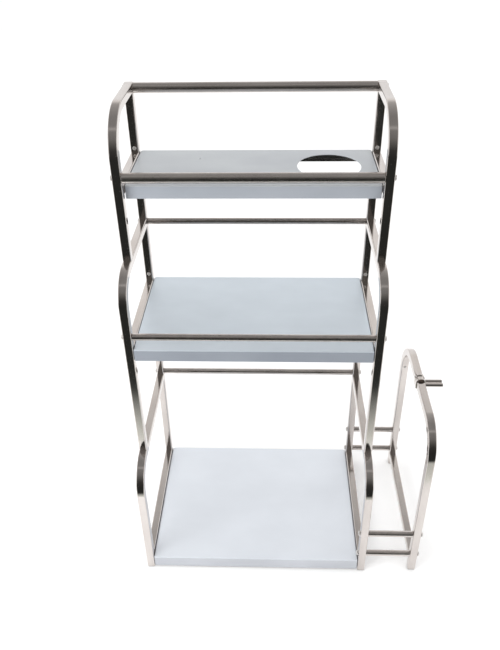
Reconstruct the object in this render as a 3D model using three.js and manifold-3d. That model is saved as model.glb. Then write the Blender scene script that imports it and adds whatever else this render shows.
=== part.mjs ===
// Three-shelf stainless steel countertop rack with a board holder on its right side.
// Millimetres, +Z up, the front faces -Y. The finished group is centred on its footprint.
import * as THREE from 'three';
import { mergeVertices } from 'three/addons/utils/BufferGeometryUtils.js';
import Module from 'manifold-3d';

const wasm = await Module();
wasm.setup();

// ---------- driving dimensions ----------
const gap = 0.3; // clearance between touching pieces
const frameSpacing = 330; // left to right, centre to centre of the side frames
const tube = { width: 11.6, depth: 12, wall: 0.8, corner: 1.8 };
const bendRadius = { top: 60, middle: 45, bottom: 48, holderRear: 58, holderFront: 50 }; // outside

// Each tier: depth of its front face from the back plane, height of the bow's top face, height of
// the side rail's top face, then the tray's top height, its depth and its skirt.
const tiers = [
  { name: 'top', depth: 138, bowTop: 687, railTop: 595.5, trayTop: 594.5, trayDepth: 126, skirt: 17 },
  { name: 'middle', depth: 193, bowTop: 495, railTop: 392, trayTop: 391.5, trayDepth: 193, skirt: 17.5 },
  { name: 'bottom', depth: 242, bowTop: 208, railTop: 29.5, trayTop: 25, trayDepth: 242, skirt: 20 },
];

const holder = { offset: 244.5, depth: 239, bowTop: 285, railTop: 29.5 };
const thickRod = { diameter: 13.5, wall: 1 };
const thinRod = { diameter: 9.5, wall: 1 };
const rodEndPlug = 12; // length of the threaded slug closing each rod end

// Heights of the cross rods. Rear rods sit in the rear uprights, guard rods in the bows.
const rearRods = [
  { name: 'top', height: 680.5, size: thickRod },
  { name: 'middle', height: 489, size: thinRod },
  { name: 'bottom', height: 210, size: thinRod },
];
const guardRods = [
  { name: 'top', tier: tiers[0], height: 607, size: thickRod },
  { name: 'middle', tier: tiers[1], height: 409, size: thinRod },
];
const spacerHeights = { upper: 80.5, lower: 35 };

const tray = { halfWidth: 158.9, rearInset: 0.5, sheet: 0.8, cornerCut: 4 };
const cupHole = { x: 97.5, y: -61, diameter: 83 };
const drainHole = { x: -73.5, y: -34, diameter: 3 };
const skirtSlot = { x: 93, width: 7, height: 1.6, depth: 0.4, drop: 15.3 };

const bolt = { shank: 4, hole: 4.6, head: 8, headHeight: 2.8, length: 20 };
const trayScrew = { shank: 3, hole: 3.6, head: 5.6, headHeight: 1.8, length: 14.1, y: -50, drop: 7 };
const wallHole = { diameter: 5, heights: [403, 601], holderHeight: 226 };
const foot = { flange: 2, stem: 12 };
const hook = { y: -115, length: 14.5, slack: 0.4, sheet: 1, archRise: 3.4 };
const peg = { diameter: 6, reach: 26.2, spacing: 8.4, drop: 8.6, tip: 1.2 };

const cornerSegments = 3;
const bendSteps = 8;
const roundSegments = 20;
const holeSegments = 48;

// ---------- materials ----------
const polishedSteel = { color: 0xc9c6c0, roughness: 0.12, metalness: 1 };
const satinSheet = { color: 0xc4ccd4, roughness: 0.35, metalness: 0.8 };
const boltSteel = { color: 0xb8b6b2, roughness: 0.25, metalness: 1 };
const footPlastic = { color: 0x8d8a84, roughness: 0.6, metalness: 0 };

// ---------- small helpers ----------
function addPiece(group, name, geometry, finish) {
  const mesh = new THREE.Mesh(geometry, new THREE.MeshStandardMaterial(finish));
  mesh.name = name;
  group.add(mesh);
  return mesh;
}

function toSolid(geometry) {
  const bare = geometry.clone();
  bare.deleteAttribute('normal');
  bare.deleteAttribute('uv');
  const merged = mergeVertices(bare, 1e-4);
  return new wasm.Manifold(new wasm.Mesh({
    numProp: 3,
    vertProperties: new Float32Array(merged.attributes.position.array),
    triVerts: new Uint32Array(merged.index.array),
  }));
}

function toGeometry(solid) {
  const mesh = solid.getMesh();
  const geometry = new THREE.BufferGeometry();
  geometry.setAttribute('position', new THREE.BufferAttribute(mesh.vertProperties, 3));
  geometry.setIndex(new THREE.BufferAttribute(mesh.triVerts, 1));
  geometry.computeVertexNormals();
  return geometry;
}

function cut(geometry, tools) {
  let solid = toSolid(geometry);
  for (const tool of tools) {
    solid = solid.subtract(toSolid(tool));
  }
  return toGeometry(solid);
}

function join(first, second) {
  return toGeometry(toSolid(first).add(toSolid(second)));
}

// A rectangle with round corners, centred on the origin.
function roundedRectangle(width, height, radius) {
  const x = width / 2 - radius;
  const y = height / 2 - radius;
  const outline = new THREE.Shape();
  outline.absarc(x, y, radius, 0, Math.PI / 2);
  outline.absarc(-x, y, radius, Math.PI / 2, Math.PI);
  outline.absarc(-x, -y, radius, Math.PI, 1.5 * Math.PI);
  outline.absarc(x, -y, radius, 1.5 * Math.PI, 2 * Math.PI);
  outline.closePath();
  return outline;
}

// The tube's hollow section. Its first side lies along the shape's x axis.
function tubeSection(alongX, alongY) {
  const outline = roundedRectangle(alongX, alongY, tube.corner);
  const inside = 2 * tube.wall;
  outline.holes.push(roundedRectangle(alongX - inside, alongY - inside, tube.corner - tube.wall));
  return outline;
}

function extrude(shape, depth) {
  return new THREE.ExtrudeGeometry(shape, { depth, bevelEnabled: false, curveSegments: cornerSegments });
}

// A drill along x or y through the point (x, y, z).
function drill(axis, x, y, z, diameter, length) {
  const tool = new THREE.CylinderGeometry(diameter / 2, diameter / 2, length, roundSegments);
  if (axis === 'x') {
    tool.rotateZ(Math.PI / 2);
  }
  return tool.translate(x, y, z);
}

// ---------- bent tubes ----------
// A centre line in the YZ plane through the given corners, each rounded off by its radius.
class RoundedPath extends THREE.Curve {
  constructor(corners, radii) {
    super();
    this.stretches = [];
    let from = corners[0];
    radii.forEach((radius, index) => {
      const corner = corners[index + 1];
      const back = corners[index].clone().sub(corner).normalize();
      const ahead = corners[index + 2].clone().sub(corner).normalize();
      const start = corner.clone().addScaledVector(back, radius);
      const centre = start.clone().addScaledVector(ahead, radius);
      this.stretches.push({ from, to: start });
      this.stretches.push({ centre, radius, back, ahead });
      from = corner.clone().addScaledVector(ahead, radius);
    });
    this.stretches.push({ from, to: corners[corners.length - 1] });
    this.steps = this.stretches.reduce((sum, stretch) => sum + (stretch.to ? 1 : bendSteps), 0);
  }

  // A straight stretch takes one step, and a bend takes bendSteps.
  getPoint(t) {
    let along = t * this.steps;
    const last = this.stretches.length - 1;
    for (const [index, stretch] of this.stretches.entries()) {
      const length = stretch.to ? 1 : bendSteps;
      if (along <= length || index === last) {
        return this.pointOn(stretch, along / length);
      }
      along -= length;
    }
    return null;
  }

  pointOn(stretch, share) {
    if (stretch.to) {
      return stretch.from.clone().lerp(stretch.to, share);
    }
    const angle = (share * Math.PI) / 2;
    return stretch.centre.clone()
      .addScaledVector(stretch.ahead, -Math.cos(angle) * stretch.radius)
      .addScaledVector(stretch.back, -Math.sin(angle) * stretch.radius);
  }

  getUtoTmapping(u) {
    return u;
  }
}

function bentTube(corners, outsideRadii) {
  const half = tube.depth / 2;
  const points = corners.map(([y, z]) => new THREE.Vector3(0, y, z));
  const path = new RoundedPath(points, outsideRadii.map((radius) => radius - half));
  return new THREE.ExtrudeGeometry(tubeSection(tube.depth, tube.width), {
    extrudePath: path,
    steps: path.steps,
    curveSegments: cornerSegments,
  });
}

// A tier's tube: forward from the rear upright, round the bend, then down.
function bow(depth, bowTop, endZ, radius) {
  const half = tube.depth / 2;
  const corners = [[-tube.depth - gap, bowTop - half], [half - depth, bowTop - half], [half - depth, endZ]];
  return bentTube(corners, [radius]);
}

// The holder's tube: up at the back, forward along the top and down at the front.
function holderBow() {
  const half = tube.depth / 2;
  const footZ = foot.flange + gap;
  const top = holder.bowTop - half;
  const corners = [[-half, footZ], [-half, top], [half - holder.depth, top], [half - holder.depth, footZ]];
  return bentTube(corners, [bendRadius.holderRear, bendRadius.holderFront]);
}

// ---------- side frames ----------
// A straight upright, open at the foot and closed by a cap at the top.
function upright(height) {
  const footZ = foot.flange + gap;
  const walls = extrude(tubeSection(tube.width, tube.depth), height - footZ).translate(0, 0, footZ);
  const capShape = roundedRectangle(tube.width, tube.depth, tube.corner);
  const cap = extrude(capShape, tube.wall).translate(0, 0, height - tube.wall);
  return join(walls, cap).translate(0, -tube.depth / 2, 0);
}

// A horizontal rail from the rear upright to the back of a bow.
function sideRail(depth, railTop) {
  const length = depth - 2 * tube.depth - 2 * gap;
  const rail = extrude(tubeSection(tube.width, tube.depth), length);
  rail.rotateX(Math.PI / 2);
  return rail.translate(0, -tube.depth - gap, railTop - tube.depth / 2);
}

function footPlug(depth) {
  const flange = extrude(roundedRectangle(tube.width, tube.depth, tube.corner), foot.flange);
  const less = 2 * (tube.wall + gap);
  const stemShape = roundedRectangle(tube.width - less, tube.depth - less, tube.corner - tube.wall - gap);
  const stem = extrude(stemShape, foot.stem).translate(0, 0, foot.flange / 2);
  return join(flange, stem).translate(0, tube.depth / 2 - depth, 0);
}

const rearY = -tube.depth / 2;
const frameOutside = (frameSpacing + tube.width) / 2;
const spacerFrontY = (tube.depth - tiers[2].depth - holder.depth) / 2;
const spacerLevels = Object.values(spacerHeights);

function boltHoles(y, heights) {
  return heights.map((z) => drill('x', 0, y, z, bolt.hole, 2 * tube.width));
}

function trayScrewHole(x, railTop) {
  return drill('x', x, trayScrew.y, railTop - trayScrew.drop, trayScrew.hole, 2 * tube.width);
}

function addSideFrame(group, side, x) {
  const hasSpacers = side === 'right';
  const rearHeights = rearRods.map((rod) => rod.height).concat(hasSpacers ? spacerLevels : []);
  const wallDrills = wallHole.heights.map((z) => (
    drill('y', 0, rearY, z, wallHole.diameter, 2 * tube.depth)
  ));
  const rear = cut(upright(tiers[0].bowTop), boltHoles(rearY, rearHeights).concat(wallDrills));
  addPiece(group, `${side}_rear_upright`, rear, polishedSteel).position.x = x;

  tiers.forEach((tier, index) => {
    const below = tiers[index + 1];
    const endZ = below ? below.bowTop + gap : foot.flange + gap;
    const guards = guardRods.filter((rod) => rod.tier === tier).map((rod) => rod.height);
    const holes = boltHoles(tube.depth / 2 - tier.depth, guards);
    if (hasSpacers && !below) {
      holes.push(...boltHoles(spacerFrontY, spacerLevels));
    }
    const bent = cut(bow(tier.depth, tier.bowTop, endZ, bendRadius[tier.name]), holes);
    addPiece(group, `${side}_${tier.name}_bow`, bent, polishedSteel).position.x = x;
    const rail = sideRail(tier.depth, tier.railTop);
    const screwed = tier === tiers[1] ? cut(rail, [trayScrewHole(0, tier.railTop)]) : rail;
    addPiece(group, `${side}_${tier.name}_side_rail`, screwed, polishedSteel).position.x = x;
  });

  addPiece(group, `${side}_rear_foot`, footPlug(tube.depth), footPlastic).position.x = x;
  addPiece(group, `${side}_front_foot`, footPlug(tiers[2].depth), footPlastic).position.x = x;
}

function addHolderFrame(group, x) {
  const holes = boltHoles(rearY, spacerLevels).concat(boltHoles(spacerFrontY, spacerLevels));
  holes.push(drill('y', 0, rearY, wallHole.holderHeight, wallHole.diameter, 2 * tube.depth));
  addPiece(group, 'holder_bow', cut(holderBow(), holes), polishedSteel).position.x = x;
  const rail = sideRail(holder.depth, holder.railTop);
  addPiece(group, 'holder_side_rail', rail, polishedSteel).position.x = x;
  addPiece(group, 'holder_rear_foot', footPlug(tube.depth), footPlastic).position.x = x;
  addPiece(group, 'holder_front_foot', footPlug(holder.depth), footPlastic).position.x = x;
}

// ---------- rods and bolts ----------
// A round tube along x whose ends are closed by slugs bored for a bolt.
function rod(size, length) {
  const outer = size.diameter / 2;
  const inner = outer - size.wall;
  const bore = bolt.hole / 2;
  const end = length / 2;
  const slug = end - rodEndPlug;
  const profile = [
    [outer, -end], [outer, end], [bore, end], [bore, slug], [inner, slug],
    [inner, -slug], [bore, -slug], [bore, -end], [outer, -end],
  ].map(([radius, along]) => new THREE.Vector2(radius, along));
  return new THREE.LatheGeometry(profile, roundSegments).rotateZ(-Math.PI / 2);
}

// A pan-head bolt along x. Its head points to -x when facing is -1, and to +x when it is +1.
function panBolt(size, facing) {
  const head = size.head / 2;
  const profile = [
    [0, size.headHeight], [0.55 * head, size.headHeight], [head, 0.4 * size.headHeight],
    [head, 0], [size.shank / 2, 0], [size.shank / 2, -size.length], [0, -size.length],
  ].map(([radius, along]) => new THREE.Vector2(radius, along));
  profile.reverse();
  return new THREE.LatheGeometry(profile, 12).rotateZ((-facing * Math.PI) / 2);
}

function addBolt(group, name, size, facing, faceX, y, z) {
  const mesh = addPiece(group, name, panBolt(size, facing), boltSteel);
  mesh.position.set(faceX + facing * gap, y, z);
}

function addCrossRod(group, name, size, y, z) {
  const length = frameSpacing - tube.width - 2 * gap;
  addPiece(group, name, rod(size, length), polishedSteel).position.set(0, y, z);
  addBolt(group, `${name}_left_bolt`, bolt, -1, -frameOutside, y, z);
  addBolt(group, `${name}_right_bolt`, bolt, 1, frameOutside, y, z);
}

function addSpacer(group, name, y, z) {
  const start = frameOutside;
  const end = holder.offset - tube.width / 2;
  const spacer = rod(thinRod, end - start - 2 * gap);
  addPiece(group, name, spacer, polishedSteel).position.set((start + end) / 2, y, z);
  addBolt(group, `${name}_inner_bolt`, bolt, -1, (frameSpacing - tube.width) / 2, y, z);
  addBolt(group, `${name}_outer_bolt`, bolt, 1, holder.offset + tube.width / 2, y, z);
}

// ---------- trays ----------
// A folded sheet pan, open underneath, with its rear corners cut off.
function trayOutline(inset, depth) {
  const half = tray.halfWidth - inset;
  const rear = -tray.rearInset - inset;
  const front = inset - depth;
  const corner = tray.cornerCut;
  const outline = new THREE.Shape();
  outline.moveTo(-half, front);
  outline.lineTo(half, front);
  outline.lineTo(half, rear - corner);
  outline.lineTo(half - corner, rear);
  outline.lineTo(corner - half, rear);
  outline.lineTo(-half, rear - corner);
  outline.closePath();
  return outline;
}

function foldedPan(tier) {
  const block = extrude(trayOutline(0, tier.trayDepth), tier.skirt);
  const hollow = extrude(trayOutline(tray.sheet, tier.trayDepth), tier.skirt);
  const pan = cut(block, [hollow.translate(0, 0, -tray.sheet)]);
  return pan.translate(0, 0, tier.trayTop - tier.skirt);
}

function sheetDrill(hole, topZ, segments) {
  const tool = new THREE.CylinderGeometry(hole.diameter / 2, hole.diameter / 2, 10, segments);
  return tool.rotateX(Math.PI / 2).translate(hole.x, hole.y, topZ);
}

function topTrayCuts(topZ) {
  const slot = new THREE.BoxGeometry(skirtSlot.width, 2 * skirtSlot.depth, skirtSlot.height);
  slot.translate(skirtSlot.x, -tray.rearInset - tray.sheet, topZ - skirtSlot.drop);
  return [sheetDrill(cupHole, topZ, holeSegments), sheetDrill(drainHole, topZ, 12), slot];
}

function addTopTray(group, tier) {
  addPiece(group, 'top_tray', cut(foldedPan(tier), topTrayCuts(tier.trayTop)), satinSheet);
}

// The middle tray is held by a screw through each side rail.
function addMiddleTray(group, tier) {
  const z = tier.railTop - trayScrew.drop;
  const holes = [-1, 1].map((side) => trayScrewHole((side * frameSpacing) / 2, tier.railTop));
  addPiece(group, 'middle_tray', cut(foldedPan(tier), holes), satinSheet);
  addBolt(group, 'middle_tray_left_screw', trayScrew, -1, -frameOutside, trayScrew.y, z);
  addBolt(group, 'middle_tray_right_screw', trayScrew, 1, frameOutside, trayScrew.y, z);
}

// ---------- sliding hook ----------
// Outline of the sleeve: a square foot round the tube under an arch standing above it.
function sleeveOutline(Outline, grow) {
  const half = tube.width / 2 + hook.slack + grow;
  const bottom = -tube.depth - hook.slack - grow;
  const rise = hook.archRise + grow;
  const outline = new Outline();
  outline.moveTo(half, bottom);
  outline.lineTo(half, 0);
  outline.absellipse(0, 0, half, rise, 0, Math.PI);
  outline.lineTo(-half, bottom);
  outline.closePath();
  return outline;
}

function addHook(group) {
  const outline = sleeveOutline(THREE.Shape, hook.sheet);
  outline.holes.push(sleeveOutline(THREE.Path, 0));
  const sleeve = new THREE.ExtrudeGeometry(outline, {
    depth: hook.length, bevelEnabled: false, curveSegments: 10,
  });
  sleeve.rotateX(Math.PI / 2).translate(holder.offset, hook.y + hook.length / 2, holder.bowTop);
  addPiece(group, 'hook_sleeve', sleeve, polishedSteel);

  const radius = peg.diameter / 2;
  const profile = [
    [0, 0], [radius, 0], [radius, peg.reach - peg.tip], [radius - peg.tip, peg.reach], [0, peg.reach],
  ].map(([r, along]) => new THREE.Vector2(r, along));
  const startX = holder.offset + tube.width / 2 + hook.slack + hook.sheet + gap;
  for (const [name, along] of [['rear', 1], ['front', -1]]) {
    const pin = new THREE.LatheGeometry(profile, 16).rotateZ(-Math.PI / 2);
    const y = hook.y + (along * peg.spacing) / 2;
    const mesh = addPiece(group, `hook_${name}_peg`, pin, polishedSteel);
    mesh.position.set(startX, y, holder.bowTop - peg.drop);
  }
}

// ---------- assembly ----------
const rack = new THREE.Group();
addSideFrame(rack, 'left', -frameSpacing / 2);
addSideFrame(rack, 'right', frameSpacing / 2);
for (const { name, height, size } of rearRods) {
  addCrossRod(rack, `${name}_rear_rod`, size, rearY, height);
}
for (const { name, tier, height, size } of guardRods) {
  addCrossRod(rack, `${name}_guard_rod`, size, tube.depth / 2 - tier.depth, height);
}
addTopTray(rack, tiers[0]);
addMiddleTray(rack, tiers[1]);
addPiece(rack, 'bottom_tray', foldedPan(tiers[2]), satinSheet);

addHolderFrame(rack, holder.offset);
for (const [level, z] of Object.entries(spacerHeights)) {
  addSpacer(rack, `rear_${level}_spacer`, rearY, z);
  addSpacer(rack, `front_${level}_spacer`, spacerFrontY, z);
}
addHook(rack);

// Centre the footprint on the origin. Every piece moves by the same step.
const centre = new THREE.Box3().setFromObject(rack).getCenter(new THREE.Vector3());
rack.position.set(-centre.x, -centre.y, 0);

export default rack;
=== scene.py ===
# %% [markdown]
# # A stepped countertop rack with a board holder
# The real rack is polished stainless tube, bent, cut and bolted together, with three folded sheet
# trays. Its sizes are fixed by a CAD model, so this lesson doesn't design anything again. It loads
# that model as a frame, and then models each visible piece once more with cleaner curves, softer
# edges and real finishes, exactly where the frame says it is.

# %% Load the fixed frame
import math

import bmesh
import bpy
from mathutils import Matrix, Vector


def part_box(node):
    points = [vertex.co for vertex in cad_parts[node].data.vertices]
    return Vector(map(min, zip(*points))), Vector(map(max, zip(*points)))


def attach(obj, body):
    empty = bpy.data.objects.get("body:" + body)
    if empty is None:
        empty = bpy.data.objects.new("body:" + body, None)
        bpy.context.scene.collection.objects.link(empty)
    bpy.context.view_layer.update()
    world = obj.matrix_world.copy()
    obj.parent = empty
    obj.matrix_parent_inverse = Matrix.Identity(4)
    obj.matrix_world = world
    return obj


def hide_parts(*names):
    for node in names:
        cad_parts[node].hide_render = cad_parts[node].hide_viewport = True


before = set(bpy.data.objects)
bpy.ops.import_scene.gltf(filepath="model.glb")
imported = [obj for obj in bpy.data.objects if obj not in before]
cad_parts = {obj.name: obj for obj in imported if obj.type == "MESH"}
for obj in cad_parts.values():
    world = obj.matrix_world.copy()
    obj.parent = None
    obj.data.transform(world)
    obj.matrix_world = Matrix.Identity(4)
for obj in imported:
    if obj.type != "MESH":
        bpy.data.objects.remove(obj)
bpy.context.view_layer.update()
MM = 0.001
NEAR = 0.01 * MM
WELD = 0.002 * MM

# %% [markdown]
# ## Small helpers
# Most pieces start as a cube or a flat plate, are shaped in edit mode, and are finished with
# smooth shading. The same few moves come back every time, so they are named here. Selecting in
# code replaces the mouse: each element is kept if it passes a test on its place or its normal.
# Two places count as the same if they are within `NEAR`, and points within `WELD` are merged.


# %% Helpers for starting and shaping a piece
def deselect_everything():
    """Leaves edit mode and clears the selection, because an operator acts on all that is selected."""
    if bpy.context.object and bpy.context.object.mode != "OBJECT":
        bpy.ops.object.mode_set(mode="OBJECT")
    bpy.ops.object.select_all(action="DESELECT")


def settle(name):
    """Names the new object and bakes its place, turn and scale into its mesh."""
    piece = bpy.context.object
    piece.name = name
    piece.data.name = name
    bpy.ops.object.transform_apply(location=True, rotation=True, scale=True)
    return piece


def block(name, low, high):
    """Adds a cube and stretches it from one corner to the other."""
    deselect_everything()
    bpy.ops.mesh.primitive_cube_add(size=1, location=(low + high) / 2)
    bpy.context.object.scale = high - low
    return settle(name)


def pick(piece, kind, test):
    """Enters edit mode with only the VERT, EDGE or FACE elements selected that pass the test."""
    bpy.ops.object.mode_set(mode="EDIT")
    bpy.ops.mesh.select_mode(type=kind)
    bpy.ops.mesh.select_all(action="DESELECT")
    shape = bmesh.from_edit_mesh(piece.data)
    elements = {"VERT": shape.verts, "EDGE": shape.edges, "FACE": shape.faces}[kind]
    for element in elements:
        if test(element):
            element.select_set(True)
    bmesh.update_edit_mesh(piece.data)


def done():
    """Returns to object mode with normals that point outwards."""
    bpy.ops.mesh.select_all(action="SELECT")
    bpy.ops.mesh.remove_doubles(threshold=WELD)
    bpy.ops.mesh.normals_make_consistent(inside=False)
    bpy.ops.object.mode_set(mode="OBJECT")


def middle(element):
    """The middle of an edge or a face."""
    points = [vertex.co for vertex in element.verts]
    return sum(points, Vector()) / len(points)


def runs_along(edge, axis):
    """True if an edge is parallel to the x, y or z axis, given as 0, 1 or 2."""
    way = (edge.verts[1].co - edge.verts[0].co).normalized()
    return abs(way[axis]) > 0.99


def apply_modifier(piece, kind, **settings):
    """Adds a modifier with the given settings and applies it."""
    deselect_everything()
    piece.select_set(True)
    bpy.context.view_layer.objects.active = piece
    bpy.ops.object.modifier_add(type=kind)
    modifier = piece.modifiers[-1]
    for key, value in settings.items():
        setattr(modifier, key, value)
    bpy.ops.object.modifier_apply(modifier=modifier.name)


def smooth(piece, degrees=35):
    """Smooth shading, broken only at real edges, with flat faces kept flat in their reflections."""
    deselect_everything()
    piece.select_set(True)
    bpy.context.view_layer.objects.active = piece
    bpy.ops.object.shade_smooth_by_angle(angle=math.radians(degrees))
    apply_modifier(piece, "WEIGHTED_NORMAL", keep_sharp=True, weight=60)


# %% [markdown]
# ## How a tube remembers its length
# Polished tube carries faint lines from drawing and buffing, and they run lengthwise, round every
# bend. A pattern on plain object coordinates would cut across a bend. So each tube stores, in an
# attribute called `drawn`, where each point was on the straight tube before it was bent: across,
# across, and along. The material then reads that attribute.


# %% Store the straight tube's coordinates
def store_drawn(piece, straighten):
    """Saves straighten(point) for each vertex, in metres: two distances across and one along."""
    attribute = piece.data.attributes.new("drawn", "FLOAT_VECTOR", "POINT")
    values = []
    for vertex in piece.data.vertices:
        values.extend(straighten(vertex.co))
    attribute.data.foreach_set("vector", values)


def straighten_along(axis):
    """For a straight piece: the coordinate along the given axis goes last."""
    others = [i for i in range(3) if i != axis]
    return lambda point: (point[others[0]], point[others[1]], point[axis])


# %% [markdown]
# ## Colours
# Screen colours are stored bent by a curve, and shaders work in linear light, so one helper turns
# the first into the second.


# %% Colour helper
def paint(red, green, blue):
    """A screen colour, 0 to 255 a channel, as linear light."""
    def linear(value):
        share = value / 255
        if share <= 0.04045:
            return share / 12.92
        return ((share + 0.055) / 1.055) ** 2.4
    return (linear(red), linear(green), linear(blue), 1.0)


# %% [markdown]
# ## Finishes
# A finish is a node tree on a Principled shader. These helpers add and join nodes, so that each
# finish below reads as a short recipe: where the pattern lies, what noise it uses, and what that
# noise changes (colour, roughness or the height of the surface).


# %% Node helpers
def new_finish(name):
    """An empty material with its Principled shader. Returns both."""
    finish = bpy.data.materials.new(name)
    finish.use_nodes = True
    return finish, finish.node_tree.nodes["Principled BSDF"]


def add(finish, kind, **settings):
    """Adds one node and sets its properties."""
    node = finish.node_tree.nodes.new(kind)
    for key, value in settings.items():
        setattr(node, key, value)
    return node


def wire(finish, source, target):
    """Joins an output socket to an input socket."""
    finish.node_tree.links.new(source, target)


def stretched_noise(finish, coordinates, stretch, detail=3):
    """Noise on the given coordinates, in cycles per metre along each of the three axes."""
    mapping = add(finish, "ShaderNodeMapping")
    mapping.inputs["Scale"].default_value = stretch
    noise = add(finish, "ShaderNodeTexNoise")
    noise.inputs["Scale"].default_value = 1
    noise.inputs["Detail"].default_value = detail
    wire(finish, coordinates, mapping.inputs["Vector"])
    wire(finish, mapping.outputs["Vector"], noise.inputs["Vector"])
    return noise.outputs["Fac"]


def ramp(finish, source, low, high, start=0.3, end=0.7):
    """Turns a 0 to 1 pattern into a blend of two colours."""
    node = add(finish, "ShaderNodeValToRGB")
    node.color_ramp.elements[0].position = start
    node.color_ramp.elements[0].color = low
    node.color_ramp.elements[1].position = end
    node.color_ramp.elements[1].color = high
    wire(finish, source, node.inputs["Fac"])
    return node.outputs["Color"]


def spread(finish, source, low, high):
    """Turns a 0 to 1 pattern into a number between low and high."""
    node = add(finish, "ShaderNodeMapRange")
    node.inputs["To Min"].default_value = low
    node.inputs["To Max"].default_value = high
    wire(finish, source, node.inputs["Value"])
    return node.outputs["Result"]


def add_relief(finish, shader, source, height, strength=1.0, base=None):
    """A bump map from a pattern. The height is in metres. It can lie on top of an earlier bump."""
    bump = add(finish, "ShaderNodeBump")
    bump.inputs["Distance"].default_value = height
    bump.inputs["Strength"].default_value = strength
    wire(finish, source, bump.inputs["Height"])
    if base is not None:
        wire(finish, base, bump.inputs["Normal"])
    wire(finish, bump.outputs["Normal"], shader.inputs["Normal"])
    return bump.outputs["Normal"]


# %% [markdown]
# ### Polished tube and rod
# Stainless steel that has been buffed is a mirror with a slightly warm tint. A perfect mirror looks
# false: real tube has lengthwise buffing lines that blur a reflection a little, cloudy patches
# where it was handled, and a surface that waves very slightly. The round rods are buffed less than
# the flat tubes, so theirs is the same recipe with more blur.


# %% Polished tube and rod
def make_polished_steel(name, sharpest, dullest):
    finish, shader = new_finish(name)
    shader.inputs["Metallic"].default_value = 1
    drawn = add(finish, "ShaderNodeAttribute", attribute_name="drawn").outputs["Vector"]
    lines = stretched_noise(finish, drawn, (2600, 2600, 14), detail=2)
    clouds = stretched_noise(finish, drawn, (60, 60, 16), detail=4)
    waves = stretched_noise(finish, drawn, (30, 30, 22), detail=1)
    tint = ramp(finish, clouds, paint(203, 196, 192), paint(216, 210, 206))
    wire(finish, tint, shader.inputs["Base Color"])
    blur = add(finish, "ShaderNodeMix", data_type="FLOAT")
    blur.inputs["Factor"].default_value = 0.5
    wire(finish, spread(finish, lines, sharpest, dullest), blur.inputs["A"])
    wire(finish, spread(finish, clouds, sharpest, dullest), blur.inputs["B"])
    wire(finish, blur.outputs["Result"], shader.inputs["Roughness"])
    wavy = add_relief(finish, shader, waves, 0.05 * MM, 0.5)
    add_relief(finish, shader, lines, 0.004 * MM, 0.6, wavy)
    return finish


polished_tube = make_polished_steel("polished_tube", 0.05, 0.18)
polished_rod = make_polished_steel("polished_rod", 0.18, 0.36)

# %% [markdown]
# ### Tray sheet
# The outside of the trays is rolled sheet under a thin hazy film, so it is partly a mirror and
# partly matt, with a fine grain from side to side. Each tray has its own painted shade, greyest at
# the top and palest at the bottom, for the light each one catches. The skirts get darker copies as
# painted shade. The inside is bare sheet, darker and sharper in its reflections.


# %% Tray sheet
def make_filmed_sheet(name, metal, low, high):
    finish, shader = new_finish(name)
    shader.inputs["Metallic"].default_value = metal
    shader.inputs["Specular IOR Level"].default_value = 0.3
    place = add(finish, "ShaderNodeTexCoord").outputs["Object"]
    grain = stretched_noise(finish, place, (35, 2400, 2400), detail=3)
    clouds = stretched_noise(finish, place, (9, 14, 14), detail=3)
    streaks = stretched_noise(finish, place, (5, 160, 160), detail=2)
    wire(finish, ramp(finish, clouds, low, high), shader.inputs["Base Color"])
    blur = add(finish, "ShaderNodeMix", data_type="FLOAT")
    blur.inputs["Factor"].default_value = 0.5
    wire(finish, spread(finish, grain, 0.36, 0.52), blur.inputs["A"])
    wire(finish, spread(finish, streaks, 0.36, 0.5), blur.inputs["B"])
    wire(finish, blur.outputs["Result"], shader.inputs["Roughness"])
    add_relief(finish, shader, grain, 0.01 * MM, 0.35)
    return finish


def make_bare_sheet():
    finish, shader = new_finish("bare_sheet")
    shader.inputs["Metallic"].default_value = 1
    place = add(finish, "ShaderNodeTexCoord").outputs["Object"]
    marks = stretched_noise(finish, place, (12, 900, 900), detail=3)
    tint = ramp(finish, marks, paint(168, 166, 164), paint(196, 193, 190))
    wire(finish, tint, shader.inputs["Base Color"])
    wire(finish, spread(finish, marks, 0.16, 0.34), shader.inputs["Roughness"])
    add_relief(finish, shader, marks, 0.01 * MM, 0.4)
    return finish


# Painted shade: each tray's colour is set lighter or darker for the light it catches, greyest at the top
# and palest at the bottom.
shaded_tray_finishes = {
    "top_tray": make_filmed_sheet("top_tray_painted_shade", 0.25, paint(187, 191, 196), paint(200, 204, 207)),
    "middle_tray": make_filmed_sheet("middle_tray_painted_shade", 0.5, paint(213, 222, 230), paint(223, 232, 240)),
    "bottom_tray": make_filmed_sheet("bottom_tray_painted_shade", 0.35, paint(230, 235, 242), paint(237, 242, 249)),
}
# Painted shade: darker copies of each tray's colour for the skirts' front faces.
shaded_skirt_finishes = {
    "top_tray": make_filmed_sheet("top_skirt_painted_shade", 0.3, paint(170, 176, 184), paint(182, 187, 195)),
    "middle_tray": make_filmed_sheet("middle_skirt_painted_shade", 0.3, paint(145, 151, 161), paint(157, 163, 172)),
    "bottom_tray": make_filmed_sheet("bottom_skirt_painted_shade", 0.3, paint(185, 188, 194), paint(195, 198, 204)),
}
bare_sheet = make_bare_sheet()

# %% [markdown]
# ### Bolt steel and foot plastic
# Bolts are tumbled steel, so they are duller and paler than the tube, with fine marks. The feet
# are moulded grey plastic with a fine spark texture. The slot in the top tray's rear skirt is
# painted nearly black, as painted shade for the inside of the gap.


# %% Bolt steel, foot plastic and painted slot shade
def make_bolt_steel():
    finish, shader = new_finish("bolt_steel")
    shader.inputs["Metallic"].default_value = 0.75
    place = add(finish, "ShaderNodeTexCoord").outputs["Object"]
    marks = stretched_noise(finish, place, (1500, 1500, 1500), detail=3)
    tint = ramp(finish, marks, paint(212, 208, 204), paint(232, 229, 226))
    wire(finish, tint, shader.inputs["Base Color"])
    wire(finish, spread(finish, marks, 0.3, 0.48), shader.inputs["Roughness"])
    add_relief(finish, shader, marks, 0.01 * MM, 0.3)
    return finish


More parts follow.
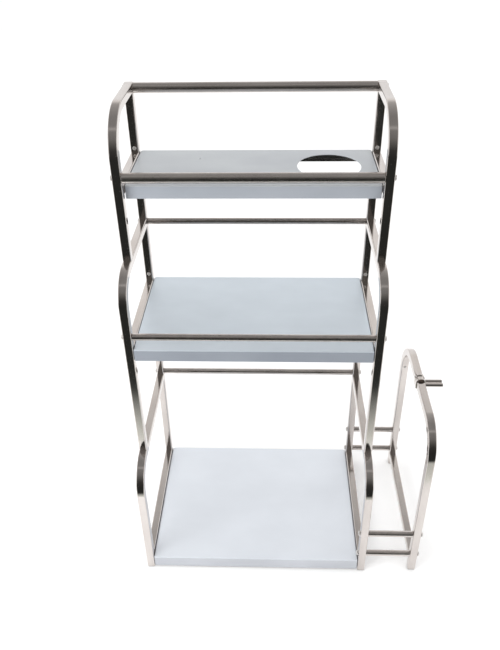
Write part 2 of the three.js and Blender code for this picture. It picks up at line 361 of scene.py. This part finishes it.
def make_foot_plastic():
    finish, shader = new_finish("foot_plastic")
    place = add(finish, "ShaderNodeTexCoord").outputs["Object"]
    sparks = stretched_noise(finish, place, (2500, 2500, 2500), detail=2)
    tint = ramp(finish, sparks, paint(118, 114, 110), paint(142, 138, 132))
    wire(finish, tint, shader.inputs["Base Color"])
    wire(finish, spread(finish, sparks, 0.45, 0.7), shader.inputs["Roughness"])
    add_relief(finish, shader, sparks, 0.02 * MM, 0.4)
    return finish


# Painted shade: a nearly black finish for the inside of the slot in the top tray's rear skirt.
def make_slot_shade():
    finish, shader = new_finish("slot_painted_shade")
    place = add(finish, "ShaderNodeTexCoord").outputs["Object"]
    specks = stretched_noise(finish, place, (1800, 1800, 1800), detail=3)
    tint = ramp(finish, specks, paint(24, 23, 22), paint(48, 45, 42))
    wire(finish, tint, shader.inputs["Base Color"])
    wire(finish, spread(finish, specks, 0.7, 0.95), shader.inputs["Roughness"])
    return finish


bolt_steel = make_bolt_steel()
foot_plastic = make_foot_plastic()
slot_painted_shade = make_slot_shade()


# %% Hand a finished piece over to the frame
def hand_over(piece, node, body, finish):
    """Gives the piece its finish, and makes it ride on its body in place of the CAD node. A tray
    already has its finishes, so it is handed over with None."""
    if finish:
        piece.data.materials.append(finish)
    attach(piece, body)
    if node:
        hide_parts(node)
    return piece


# %% [markdown]
# ## Straight tubes
# The rear uprights and the side rails are flat-sided tube with round corners. A cube becomes that
# section when the four edges along its length are bevelled. The frame leaves a hair's gap at each
# joint, which welded tube doesn't have, so each piece is a little longer here and closes it.

# %% Measure the tube
upright_low, upright_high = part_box("left_rear_upright")
TUBE_WIDTH = upright_high.x - upright_low.x
TUBE_DEPTH = upright_high.y - upright_low.y
TUBE_CORNER = 1.8 * MM
CORNER_STEPS = 6
JOINT_GAP = 0.3 * MM
print("tube section", round(TUBE_WIDTH / MM, 2), "x", round(TUBE_DEPTH / MM, 2), "mm")


# %% Straight tubes
def round_long_edges(piece, axis, radius):
    """Bevels every edge that runs along one axis."""
    pick(piece, "EDGE", lambda edge: runs_along(edge, axis))
    bpy.ops.mesh.bevel(offset=radius, offset_type="OFFSET", segments=CORNER_STEPS, affect="EDGES")
    bpy.ops.object.mode_set(mode="OBJECT")


def straight_tube(node, axis, cap_radius=0):
    """A tube along one axis, closed at both ends. A cap radius softens its upper end."""
    low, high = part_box(node)
    low[axis] -= JOINT_GAP
    high[axis] += 0 if cap_radius else JOINT_GAP
    tube = block(node + "_tube", low, high)
    round_long_edges(tube, axis, TUBE_CORNER)
    bpy.ops.object.mode_set(mode="EDIT")
    if cap_radius:
        pick(tube, "EDGE", lambda edge: middle(edge)[axis] > high[axis] - NEAR)
        bpy.ops.mesh.bevel(offset=cap_radius, segments=3, affect="EDGES")
    done()
    smooth(tube)
    store_drawn(tube, straighten_along(axis))
    return hand_over(tube, node, "rack", polished_tube)


UPRIGHT_CAP_RADIUS = 0.6 * MM

for side in ("left", "right"):
    straight_tube(f"{side}_rear_upright", 2, UPRIGHT_CAP_RADIUS)
rails = [f"{side}_{level}_side_rail" for side in ("left", "right") for level in ("top", "middle", "bottom")]
for rail in rails + ["holder_side_rail"]:
    straight_tube(rail, 1)
print("straight tubes:", 2 + len(rails) + 1)

# %% [markdown]
# ## Bent tubes
# Each bent tube is one length, pulled round a former on a bending bench. The six side tubes have
# one bend, and the board holder is one tube with two. Here the end section is a flat plate with
# rounded corners. It is extruded along each straight stretch and spun a quarter turn round each
# bend's centre. Spinning gives a true arc with even steps, so reflections slide round it without
# kinks.

# %% Start a bent tube
BEND_RADIUS = {"top": 60 * MM, "middle": 45 * MM, "bottom": 48 * MM}
HOLDER_REAR_BEND = 58 * MM
HOLDER_FRONT_BEND = 50 * MM
BEND_STEPS = 28


def end_section(name, place, turn):
    """A flat plate with the tube's outline, ready to be extruded."""
    deselect_everything()
    bpy.ops.mesh.primitive_plane_add(size=1, location=place, rotation=(turn, 0, 0))
    bpy.context.object.scale = (TUBE_WIDTH, TUBE_DEPTH, 1)
    plate = settle(name)
    pick(plate, "VERT", lambda vertex: True)
    bpy.ops.mesh.bevel(offset=TUBE_CORNER, segments=CORNER_STEPS, affect="VERTICES")
    bpy.ops.mesh.select_mode(type="FACE")
    bpy.ops.mesh.select_all(action="SELECT")
    return plate


def push(x, y, z):
    """Extrudes the selected face by a step."""
    bpy.ops.mesh.extrude_region_move(TRANSFORM_OT_translate={"value": (x, y, z)})


def turn_forward(x, y, z):
    """Spins the selected section a quarter turn, over the top towards the front."""
    bpy.ops.mesh.spin(steps=BEND_STEPS, angle=math.pi / 2, center=(x, y, z), axis=(-1, 0, 0))


# %% [markdown]
# The stored coordinates have to be unrolled in the same order: a straight stretch keeps its
# length, and a bend counts by the length of its outer arc.


# %% Unroll a bent tube
def unroll(legs):
    """Returns a function from a point to its place on the straight tube. Each leg says whether it
    holds a point, and gives that point's depth in the tube and distance along it."""
    def straighten(point):
        for holds, depth_and_length in legs:
            if holds(point):
                depth, length = depth_and_length(point)
                return (point.x, depth, length)
        return (point.x, 0, 0)
    return straighten


def bend_leg(turn_y, turn_z, radius, start, from_front):
    """The unrolled place of a point on a quarter bend, measured from straight up or straight back."""
    def place(point):
        back = point.y - turn_y
        rise = point.z - turn_z
        angle = math.atan2(-back, rise) if from_front else math.atan2(rise, back)
        return (radius - math.hypot(back, rise), start + radius * angle)
    return place


# %% The six side tubes
def side_bow(node, radius):
    """One bow, from its straight top to the end of its leg."""
    low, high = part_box(node)
    x = (low.x + high.x) / 2
    start_y = high.y + JOINT_GAP
    turn_y = low.y + radius
    turn_z = high.z - radius
    bow = end_section(node + "_tube", (x, start_y, high.z - TUBE_DEPTH / 2), math.pi / 2)
    push(0, turn_y - start_y, 0)
    turn_forward(x, turn_y, turn_z)
    push(0, 0, low.z - JOINT_GAP - turn_z)
    done()
    smooth(bow)
    flat = start_y - turn_y
    round_the_bend = flat + radius * math.pi / 2
    store_drawn(bow, unroll([
        (lambda point: point.y > turn_y, lambda point: (high.z - point.z, start_y - point.y)),
        (lambda point: point.z > turn_z, bend_leg(turn_y, turn_z, radius, flat, True)),
        (lambda point: True, lambda point: (point.y - low.y, round_the_bend + turn_z - point.z)),
    ]))
    return hand_over(bow, node, "rack", polished_tube)


for side in ("left", "right"):
    for level in ("top", "middle", "bottom"):
        bow = side_bow(f"{side}_{level}_bow", BEND_RADIUS[level])
print("bow faces:", len(bow.data.polygons))


# %% The holder's tube
def holder_tube(node, rear_radius, front_radius):
    """One tube: up at the back, forward along the top, down at the front."""
    low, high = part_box(node)
    x = (low.x + high.x) / 2
    foot_z = low.z - JOINT_GAP
    rear_y = high.y - rear_radius
    rear_z = high.z - rear_radius
    front_y = low.y + front_radius
    front_z = high.z - front_radius
    tube = end_section(node + "_tube", (x, high.y - TUBE_DEPTH / 2, foot_z), 0)
    push(0, 0, rear_z - foot_z)
    turn_forward(x, rear_y, rear_z)
    push(0, front_y - rear_y, 0)
    turn_forward(x, front_y, front_z)
    push(0, 0, foot_z - front_z)
    done()
    smooth(tube)
    first = rear_z - foot_z
    second = first + rear_radius * math.pi / 2
    third = second + rear_y - front_y
    fourth = third + front_radius * math.pi / 2
    store_drawn(tube, unroll([
        (
            lambda point: point.y > rear_y and point.z < rear_z,
            lambda point: (high.y - point.y, point.z - foot_z),
        ),
        (lambda point: point.y > rear_y, bend_leg(rear_y, rear_z, rear_radius, first, False)),
        (lambda point: point.y > front_y, lambda point: (high.z - point.z, second + rear_y - point.y)),
        (lambda point: point.z > front_z, bend_leg(front_y, front_z, front_radius, third, True)),
        (lambda point: True, lambda point: (point.y - low.y, fourth + front_z - point.z)),
    ]))
    return hand_over(tube, node, "rack", polished_tube)


holder_bow = holder_tube("holder_bow", HOLDER_REAR_BEND, HOLDER_FRONT_BEND)
print("holder faces:", len(holder_bow.data.polygons))

# %% [markdown]
# ## Rods
# Round rods tie the side frames together. Each is a turned bar with a small chamfer and a pressed
# insert in each end for its bolt, which a person only sees from close by. A cylinder is given the
# chamfer with a bevel, and the insert with an inset and a short push inwards.


# %% Rods
ROD_CHAMFER = 0.9 * MM
INSERT_RIM = 0.8 * MM
INSERT_DEPTH = 0.25 * MM


def face_end(face, x):
    """True for a face that closes a rod or a peg at the given place along x."""
    return abs(middle(face).x - x) < NEAR and abs(face.normal.x) > 0.9


def round_rod(node):
    """A rod along x with chamfered ends and inserts."""
    low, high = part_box(node)
    low.x -= JOINT_GAP
    high.x += JOINT_GAP
    centre = (low + high) / 2
    deselect_everything()
    bpy.ops.mesh.primitive_cylinder_add(
        vertices=48, radius=(high.z - low.z) / 2, depth=high.x - low.x,
        location=centre, rotation=(0, math.pi / 2, 0),
    )
    rod = settle(node + "_bar")
    pick(rod, "EDGE", lambda edge: not runs_along(edge, 0))
    bpy.ops.mesh.bevel(offset=ROD_CHAMFER, segments=3, affect="EDGES")
    for x, step in ((low.x, INSERT_DEPTH), (high.x, -INSERT_DEPTH)):
        pick(rod, "FACE", lambda face: face_end(face, x))
        bpy.ops.mesh.inset(thickness=INSERT_RIM, depth=0)
        push(step, 0, 0)
    done()
    smooth(rod)
    store_drawn(rod, straighten_along(0))
    return hand_over(rod, node, "rack", polished_rod)


cross_rods = ["top_rear_rod", "middle_rear_rod", "bottom_rear_rod", "top_guard_rod", "middle_guard_rod"]
spacers = [f"{where}_{level}_spacer" for where in ("rear", "front") for level in ("upper", "lower")]
for rod in cross_rods + spacers:
    round_rod(rod)
print("rods:", len(cross_rods) + len(spacers))

# %% [markdown]
# ## Trays
# A tray is one sheet with its edges folded down. It is modelled as the outside of the pan: a cube
# with its rear corners rounded, its bottom taken away and its folds bevelled. Solidify then gives
# the sheet its thickness inwards, and so the folds get a matching inner radius for free.

# %% Trays
SHEET = 0.8 * MM
FOLD_RADIUS = 1.8 * MM
REAR_CORNER = 4 * MM
# The third and fourth finishes are painted shade: the slot's near black and the skirts' darker copy.
FILM, BARE, SLOT_SHADE, SHADED_SKIRT = range(4)


def use_finish(piece, number):
    """Gives the selected faces one of the tray's four finishes, by its number."""
    piece.active_material_index = number
    bpy.ops.object.material_slot_assign()
    bpy.ops.object.mode_set(mode="OBJECT")


def fold_tray(node):
    """A pan, open underneath, with round folds. Its film is on the outside only. The finishes are
    added in the order of their numbers."""
    low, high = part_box(node)
    pan = block(node + "_pan", low, high)
    for finish in (shaded_tray_finishes[node], bare_sheet, slot_painted_shade, shaded_skirt_finishes[node]):
        pan.data.materials.append(finish)
    pick(pan, "EDGE", lambda edge: runs_along(edge, 2) and middle(edge).y > high.y - NEAR)
    bpy.ops.mesh.bevel(offset=REAR_CORNER, segments=5, affect="EDGES")
    pick(pan, "FACE", lambda face: face.normal.z < -0.9)
    bpy.ops.mesh.delete(type="ONLY_FACE")
    front = low.y + NEAR
    top = high.z - NEAR
    pick(pan, "EDGE", lambda edge: middle(edge).z > top or (runs_along(edge, 2) and middle(edge).y < front))
    bpy.ops.mesh.bevel(offset=FOLD_RADIUS, segments=5, affect="EDGES")
    done()
    apply_modifier(pan, "SOLIDIFY", thickness=SHEET, offset=-1, use_even_offset=True, material_offset=BARE)
    # The skirt faces take their darker copy, as painted shade.
    pick(pan, "FACE", lambda face: face.material_index == FILM and abs(face.normal.z) < 0.3)
    use_finish(pan, SHADED_SKIRT)
    return pan


top_pan = fold_tray("top_tray")
middle_pan = fold_tray("middle_tray")
bottom_pan = fold_tray("bottom_tray")

# %% [markdown]
# ## The holes in the top tray
# The top tray has a large round hole for a cup and a small round hole. Both are punched, so a
# boolean with a cutter of the right shape is the nearest thing to the real step. A boolean leaves
# a razor edge, so the rim of the cup hole is bevelled afterwards. Inside the rear skirt, low down,
# is a shallow slot, cut only part of the way through the sheet and painted nearly black as shade.

# %% Punch the top tray
CUP_HOLE = {"right": 97.5 * MM, "forward": 60.5 * MM, "radius": 41.5 * MM}
DRAIN_HOLE = {"right": -73.5 * MM, "forward": 33.5 * MM, "radius": 1.5 * MM}
SLOT = {"right": 93 * MM, "down": 15.3 * MM}
SLOT_SIZE = {"width": 7 * MM, "height": 1.6 * MM, "depth": 0.4 * MM}
RIM_RADIUS = 0.3 * MM
CUTTER_LENGTH = 6 * MM
tray_low, tray_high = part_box("top_tray")
tray_middle = (tray_low.x + tray_high.x) / 2


def punch(sheet, cutter):
    """Cuts one shape out of another and removes the cutter."""
    apply_modifier(sheet, "BOOLEAN", object=cutter, operation="DIFFERENCE", solver="EXACT")
    bpy.data.objects.remove(cutter)


def punch_round(sheet, hole, sides):
    """Punches a round hole through the top of the tray."""
    centre = (tray_middle + hole["right"], tray_high.y - hole["forward"], tray_high.z)
    deselect_everything()
    bpy.ops.mesh.primitive_cylinder_add(
        vertices=sides, radius=hole["radius"], depth=CUTTER_LENGTH, location=centre
    )
    punch(sheet, settle("cutter"))


punch_round(top_pan, CUP_HOLE, 128)
punch_round(top_pan, DRAIN_HOLE, 24)
slot_middle = Vector((tray_middle + SLOT["right"], tray_high.y - SHEET, tray_high.z - SLOT["down"]))
slot_half = Vector((SLOT_SIZE["width"] / 2, SLOT_SIZE["depth"], SLOT_SIZE["height"] / 2))
punch(top_pan, block("cutter", slot_middle - slot_half, slot_middle + slot_half))


def in_slot(face):
    """True for a face inside the slot."""
    away = middle(face) - slot_middle
    return all(abs(away[axis]) < slot_half[axis] + NEAR for axis in range(3))


# Painted shade: the slot's faces get the nearly black finish.
pick(top_pan, "FACE", in_slot)
use_finish(top_pan, SLOT_SHADE)


def on_rim(edge, hole):
    """True for an edge that lies on the wall of a round hole, at the upper face of the sheet."""
    centre = Vector((tray_middle + hole["right"], tray_high.y - hole["forward"]))
    return all(
        abs((vertex.co.xy - centre).length - hole["radius"]) < 0.05 * MM
        and vertex.co.z > tray_high.z - NEAR
        for vertex in edge.verts
    )


pick(top_pan, "EDGE", lambda edge: on_rim(edge, CUP_HOLE))
bpy.ops.mesh.bevel(offset=RIM_RADIUS, segments=3, affect="EDGES")
bpy.ops.object.mode_set(mode="OBJECT")
for pan, node in ((top_pan, "top_tray"), (middle_pan, "middle_tray"), (bottom_pan, "bottom_tray")):
    smooth(pan, 30)
    hand_over(pan, node, "rack", None)
print("top tray faces:", len(top_pan.data.polygons))

# %% [markdown]
# ## Feet
# A moulded plug closes the bottom of each upright. Its lip is as wide as the tube, and rounded
# underneath so that it doesn't scratch the worktop. A short stem goes up inside the tube.

# %% Feet
LIP = 2 * MM
LIP_ROUND = 1.7 * MM
STEM_INSET = 1.1 * MM


def foot_plug(node):
    """A plug: a rounded lip with a narrower stem above it."""
    low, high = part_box(node)
    lip_top = low.z + LIP
    plug = block(node + "_plug", low, Vector((high.x, high.y, lip_top)))
    round_long_edges(plug, 2, TUBE_CORNER)
    pick(plug, "EDGE", lambda edge: middle(edge).z < low.z + NEAR)
    bpy.ops.mesh.bevel(offset=LIP_ROUND, segments=5, affect="EDGES")
    pick(plug, "FACE", lambda face: face.normal.z > 0.9 and middle(face).z > lip_top - NEAR)
    bpy.ops.mesh.inset(thickness=STEM_INSET, depth=0)
    push(0, 0, high.z - lip_top)
    done()
    smooth(plug)
    return hand_over(plug, node, "rack", foot_plastic)


for foot in ("left_rear", "left_front", "right_rear", "right_front", "holder_rear", "holder_front"):
    foot_plug(foot + "_foot")

# %% [markdown]
# ## Bolts
# The bolts are button heads with a hexagonal socket. One head is modelled with care: a cylinder
# whose upper edge is bevelled into a dome, and a six-sided cutter for the socket. Every other
# bolt is a copy of that mesh, turned to face outwards and moved to its place, as on a real rack,
# where all come out of one bag. The two screws of the middle tray are the same shape, made smaller.

# %% Model one bolt
HEAD_RADIUS = 4 * MM
HEAD_HEIGHT = 2.8 * MM
HEAD_DOME = 2.1 * MM
SHANK_RADIUS = 2 * MM
SHANK_LENGTH = 20 * MM
SOCKET_RADIUS = 1.45 * MM
SOCKET_DEPTH = 1.5 * MM
SCREW_SCALE = 0.64


def button_bolt(name):
    """A bolt that stands on the origin with its head up."""
    deselect_everything()
    bpy.ops.mesh.primitive_cylinder_add(
        vertices=40, radius=HEAD_RADIUS, depth=HEAD_HEIGHT, location=(0, 0, HEAD_HEIGHT / 2)
    )
    bolt = settle(name)
    pick(bolt, "EDGE", lambda edge: middle(edge).z > HEAD_HEIGHT - NEAR)
    bpy.ops.mesh.bevel(offset=HEAD_DOME, segments=7, affect="EDGES")
    pick(bolt, "FACE", lambda face: face.normal.z < -0.9)
    bpy.ops.mesh.inset(thickness=HEAD_RADIUS - SHANK_RADIUS, depth=0)
    push(0, 0, -SHANK_LENGTH)
    done()
    deselect_everything()
    bpy.ops.mesh.primitive_cylinder_add(
        vertices=6, radius=SOCKET_RADIUS, depth=2 * SOCKET_DEPTH, location=(0, 0, HEAD_HEIGHT)
    )
    punch(bolt, settle("cutter"))
    smooth(bolt)
    return bolt


pattern_bolt = button_bolt("pattern_bolt")
print("bolt faces:", len(pattern_bolt.data.polygons))


# %% Copy it to every place
def place_bolt(node, facing, scale=1.0):
    """Copies the pattern bolt so that its head takes the place of the node's head."""
    low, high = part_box(node)
    copy = pattern_bolt.data.copy()
    under_head = low.x + HEAD_HEIGHT * scale if facing < 0 else high.x - HEAD_HEIGHT * scale
    place = Vector((under_head - facing * JOINT_GAP, (low.y + high.y) / 2, (low.z + high.z) / 2))
    turn = Matrix.Rotation(facing * math.pi / 2, 4, "Y")
    copy.transform(Matrix.Translation(place) @ turn @ Matrix.Scale(scale, 4))
    bolt = bpy.data.objects.new(node + "_head", copy)
    bpy.context.scene.collection.objects.link(bolt)
    return hand_over(bolt, node, "rack", bolt_steel)


for rod in cross_rods:
    place_bolt(rod + "_left_bolt", -1)
    place_bolt(rod + "_right_bolt", 1)
for rod in spacers:
    place_bolt(rod + "_inner_bolt", -1)
    place_bolt(rod + "_outer_bolt", 1)
place_bolt("middle_tray_left_screw", -1, SCREW_SCALE)
place_bolt("middle_tray_right_screw", 1, SCREW_SCALE)
bpy.data.objects.remove(pattern_bolt)

# %% [markdown]
# ## Rivets in the rear uprights
# A small round rivet closes each hole in the front faces of the rear uprights, just above a shelf,
# and one more sits high on the holder's rear leg. It is a low dome with the dimple that the rivet's
# pin leaves, so it is a cylinder with a bevelled edge, an inset and a push inwards.

# %% Rivets
RIVET_RADIUS = 2.7 * MM
RIVET_HEIGHT = 0.9 * MM
RIVET_DOME = 0.7 * MM
DIMPLE_RIM = 0.9 * MM
DIMPLE_DEPTH = 0.8 * MM
SIDE_RIVET_HEIGHTS = (403 * MM, 601 * MM)
HOLDER_RIVET_HEIGHT = 226 * MM


def rivet(name, x, y, z):
    """A rivet whose dome faces the front."""
    deselect_everything()
    bpy.ops.mesh.primitive_cylinder_add(
        vertices=32, radius=RIVET_RADIUS, depth=2 * RIVET_HEIGHT,
        location=(x, y, z), rotation=(math.pi / 2, 0, 0),
    )
    dome = settle(name)
    face_y = y - RIVET_HEIGHT
    pick(dome, "EDGE", lambda edge: middle(edge).y < face_y + NEAR)
    bpy.ops.mesh.bevel(offset=RIVET_DOME, segments=5, affect="EDGES")
    pick(dome, "FACE", lambda face: abs(middle(face).y - face_y) < NEAR and face.normal.y < -0.9)
    bpy.ops.mesh.inset(thickness=DIMPLE_RIM, depth=0)
    push(0, DIMPLE_DEPTH, 0)
    done()
    smooth(dome)
    return hand_over(dome, None, "rack", bolt_steel)


for side in ("left", "right"):
    low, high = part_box(f"{side}_rear_upright")
    for number, height in enumerate(SIDE_RIVET_HEIGHTS):
        rivet(f"{side}_upright_rivet_{number + 1}", (low.x + high.x) / 2, low.y, height)
low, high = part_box("holder_bow")
rivet("holder_rivet", (low.x + high.x) / 2, high.y - TUBE_DEPTH, HOLDER_RIVET_HEIGHT)

# %% [markdown]
# ## The sliding hook
# A strip of sheet is bent round the holder's top tube with an arch above it, and slides along the
# tube. The arch is pressed down in the middle, which leaves a hoop at each end. Two pegs stand out
# from the strip to hang things on. The strip starts as a cube without its front and back faces.
# Bevelling its upper edges widely turns the top into the arch. Cutting it into short lengths lets
# the middle be pressed down, and Solidify makes it a strip. The strip and the pegs ride on the
# hook's own body, so they move with the slide.

# %% The hook's sleeve and pegs
STRIP_SHEET = 1 * MM
STRIP_FLAT = 0.1 * MM
STRIP_FOLD = 2 * MM
WAIST_HALF = 3.4 * MM
WAIST_DROP = 1.6 * MM
PEG_CHAMFER = 1.2 * MM
PEG_HOLLOW = 0.6 * MM


def hook_sleeve():
    """The strip round the tube."""
    low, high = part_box("hook_sleeve")
    strip = block("hook_sleeve_strip", low, high)
    pick(strip, "FACE", lambda face: abs(face.normal.y) > 0.9)
    bpy.ops.mesh.delete(type="ONLY_FACE")
    arch = (high.x - low.x) / 2 - STRIP_FLAT
    pick(strip, "EDGE", lambda edge: runs_along(edge, 1) and middle(edge).z > high.z - NEAR)
    bpy.ops.mesh.bevel(offset=arch, segments=12, affect="EDGES")
    pick(strip, "EDGE", lambda edge: runs_along(edge, 1) and middle(edge).z < low.z + NEAR)
    bpy.ops.mesh.bevel(offset=STRIP_FOLD, segments=5, affect="EDGES")
    pick(strip, "EDGE", lambda edge: runs_along(edge, 1))
    bpy.ops.mesh.subdivide(number_cuts=11)
    centre_y = (low.y + high.y) / 2
    arch_foot = high.z - arch / 2
    pick(strip, "VERT", lambda vertex: abs(vertex.co.y - centre_y) < WAIST_HALF and vertex.co.z > arch_foot)
    bpy.ops.transform.translate(value=(0, 0, -WAIST_DROP))
    done()
    apply_modifier(strip, "SOLIDIFY", thickness=STRIP_SHEET, offset=-1, use_even_offset=True)
    smooth(strip)
    store_drawn(strip, straighten_along(1))
    return hand_over(strip, "hook_sleeve", "hook", polished_tube)


def hook_peg(node):
    """A peg with a chamfered tip that is slightly hollow."""
    low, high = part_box(node)
    low.x -= JOINT_GAP
    deselect_everything()
    bpy.ops.mesh.primitive_cylinder_add(
        vertices=40, radius=(high.z - low.z) / 2, depth=high.x - low.x,
        location=(low + high) / 2, rotation=(0, math.pi / 2, 0),
    )
    peg = settle(node + "_pin")
    pick(peg, "EDGE", lambda edge: middle(edge).x > high.x - NEAR)
    bpy.ops.mesh.bevel(offset=PEG_CHAMFER, segments=3, affect="EDGES")
    pick(peg, "FACE", lambda face: face_end(face, high.x))
    bpy.ops.mesh.inset(thickness=PEG_HOLLOW, depth=0)
    push(-PEG_HOLLOW, 0, 0)
    done()
    smooth(peg)
    store_drawn(peg, straighten_along(0))
    return hand_over(peg, node, "hook", polished_tube)


hook_sleeve()
hook_peg("hook_rear_peg")
hook_peg("hook_front_peg")

# %% [markdown]
# ## Floor and light
# Polished steel shows its surroundings more than itself. In a white sweep with a dark room in
# front, the faces that look up or back turn pale, and those that look at the room turn nearly
# black. That contrast is what makes it read as steel. The world gives even white light. The dark
# room is a set of cards that only reflections can see, so the floor stays plain and pale.

# %% Floor
ROOM_WIDTH = 8
deselect_everything()
bpy.ops.mesh.primitive_plane_add(size=ROOM_WIDTH, location=(0, 0, 0))
floor = bpy.context.object
floor.name = "floor"
floor_finish, floor_shader = new_finish("floor_paper")
floor_place = add(floor_finish, "ShaderNodeTexCoord").outputs["Object"]
fibre = stretched_noise(floor_finish, floor_place, (300, 300, 300), detail=2)
floor_tint = ramp(floor_finish, fibre, paint(248, 248, 248), paint(252, 252, 252))
wire(floor_finish, floor_tint, floor_shader.inputs["Base Color"])
wire(floor_finish, floor_tint, floor_shader.inputs["Emission Color"])
floor_shader.inputs["Emission Strength"].default_value = 0.16
floor_shader.inputs["Roughness"].default_value = 0.9
floor_shader.inputs["Specular IOR Level"].default_value = 0
floor.data.materials.append(floor_finish)

# %% World light
world = bpy.data.worlds.new("studio")
bpy.context.scene.world = world
world.use_nodes = True
backdrop = world.node_tree.nodes["Background"]
backdrop.inputs["Color"].default_value = (1, 1, 1, 1)
backdrop.inputs["Strength"].default_value = 1.02
bpy.context.scene.view_settings.view_transform = "Standard"

# %% A soft lamp from the left
# It adds matt light only, and gives the skirts their fall from left to right.
LAMP_SIZE = 0.5
LAMP_POWER = 4
LAMP_PLACE = Vector((-0.65, -0.6, 0.75))
LAMP_AIM = Vector((0, 0, 0.4))
lamp_data = bpy.data.lights.new("left_lamp", "AREA")
lamp_data.size = LAMP_SIZE
lamp_data.energy = LAMP_POWER
lamp = bpy.data.objects.new("left_lamp", lamp_data)
bpy.context.scene.collection.objects.link(lamp)
lamp.location = LAMP_PLACE
lamp.rotation_euler = (LAMP_AIM - LAMP_PLACE).to_track_quat("-Z", "Y").to_euler()
lamp.visible_glossy = False


# %% Cards that only reflections see
def card(name, centre, size, turn, axis, tint, stops):
    """A glowing card, hidden from the camera and from soft light. The stops give its strength at
    places along one axis, in metres, and it fades evenly from one stop to the next."""
    deselect_everything()
    bpy.ops.mesh.primitive_plane_add(size=1, location=centre, rotation=turn)
    bpy.context.object.scale = (size[0], size[1], 1)
    flag = settle(name)
    finish = bpy.data.materials.new(name)
    finish.use_nodes = True
    finish.node_tree.nodes.remove(finish.node_tree.nodes["Principled BSDF"])
    start = stops[0][0]
    end = stops[-1][0]
    parts = add(finish, "ShaderNodeSeparateXYZ")
    wire(finish, add(finish, "ShaderNodeTexCoord").outputs["Object"], parts.inputs["Vector"])
    share = add(finish, "ShaderNodeMapRange")
    share.inputs["From Min"].default_value = start
    share.inputs["From Max"].default_value = end
    wire(finish, parts.outputs[axis], share.inputs["Value"])
    fade = add(finish, "ShaderNodeValToRGB")
    elements = fade.color_ramp.elements
    for place, _ in stops[1:-1]:
        elements.new((place - start) / (end - start))
    for element, (_, strength) in zip(elements, stops):
        element.color = (strength, strength, strength, 1)
    wire(finish, share.outputs["Result"], fade.inputs["Fac"])
    glow = add(finish, "ShaderNodeEmission")
    glow.inputs["Color"].default_value = tint
    wire(finish, fade.outputs["Color"], glow.inputs["Strength"])
    wire(finish, glow.outputs["Emission"], finish.node_tree.nodes["Material Output"].inputs["Surface"])
    flag.data.materials.append(finish)
    flag.visible_camera = False
    flag.visible_diffuse = False
    flag.visible_transmission = False
    flag.visible_volume_scatter = False
    flag.visible_shadow = False


# %% [markdown]
# The white sweep starts to darken a little in front of the rack, at `SWEEP_EDGE`, and is dark at
# `SWEEP_END`. Beyond it lie a dark floor and a dark wall. The ceiling is grey overhead, with one
# soft strip light in front of the rack, and grows white towards the back.

# %% The room
SWEEP_EDGE = -0.3
SWEEP_END = -0.46
ROOM_END = -3.4
CEILING = 3.0
CEILING_BACK = 5.0
room_middle = (SWEEP_EDGE + ROOM_END) / 2
ceiling_middle = (ROOM_END + CEILING_BACK) / 2
card("dark_floor", (0, room_middle, 2 * MM), (ROOM_WIDTH, SWEEP_EDGE - ROOM_END), (0, 0, 0),
     "Y", (0.96, 1, 0.94, 1), [(ROOM_END, 0.03), (SWEEP_END, 0.03), (SWEEP_EDGE, 1.0)])
card("dark_wall", (0, ROOM_END, CEILING / 2), (ROOM_WIDTH, CEILING), (math.pi / 2, 0, 0),
     "Z", (1, 0.98, 0.93, 1), [(0, 0.03), (1.2, 0.05), (CEILING, 0.2)])
card("ceiling", (0, ceiling_middle, CEILING), (ROOM_WIDTH, CEILING_BACK - ROOM_END), (0, 0, 0),
     "Y", (1, 0.98, 0.96, 1), [
         (ROOM_END, 0.2), (-1.65, 0.26), (-1.33, 0.5), (-1.0, 0.28),
         (0, 0.28), (2.3, 0.5), (2.9, 0.7), (3.7, 0.96), (CEILING_BACK, 1.0),
     ])

# %% [markdown]
# ## Camera
# The camera looks down at the rack from the front. It is set by its place, three angles and a
# focal length. The frame is centred on the footprint of the whole part, and the camera was worked
# out from the middle of the shelves, so its place is given from the shelf frame.

# %% Camera
PITCH = math.radians(34.454)
YAW = math.radians(2.45)
ROLL = math.radians(-1.054)
EYE_RIGHT = 27.1 * MM
EYE_FORWARD = -899.3 * MM
EYE_HEIGHT = 926.6 * MM
FOCAL_LENGTH = 49.06
frame_middle = (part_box("left_rear_upright")[0].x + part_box("right_rear_upright")[1].x) / 2
upright_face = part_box("left_rear_upright")[0].y
eye = Vector((frame_middle + EYE_RIGHT, upright_face + EYE_FORWARD, EYE_HEIGHT))

forward = Vector((-math.sin(YAW) * math.cos(PITCH), math.cos(YAW) * math.cos(PITCH), -math.sin(PITCH)))
level = Vector((math.cos(YAW), math.sin(YAW), 0))
upward = level.cross(forward)
right_way = math.cos(ROLL) * level + math.sin(ROLL) * upward
up_way = math.cos(ROLL) * upward - math.sin(ROLL) * level
turned = Matrix((right_way, up_way, -forward)).transposed().to_4x4()

camera_data = bpy.data.cameras.new("camera")
camera_data.sensor_fit = "HORIZONTAL"
camera_data.sensor_width = 36
camera_data.lens = FOCAL_LENGTH
camera = bpy.data.objects.new("camera", camera_data)
bpy.context.scene.collection.objects.link(camera)
camera.matrix_world = Matrix.Translation(eye) @ turned
bpy.context.scene.camera = camera

# %% Clear the selection
deselect_everything()
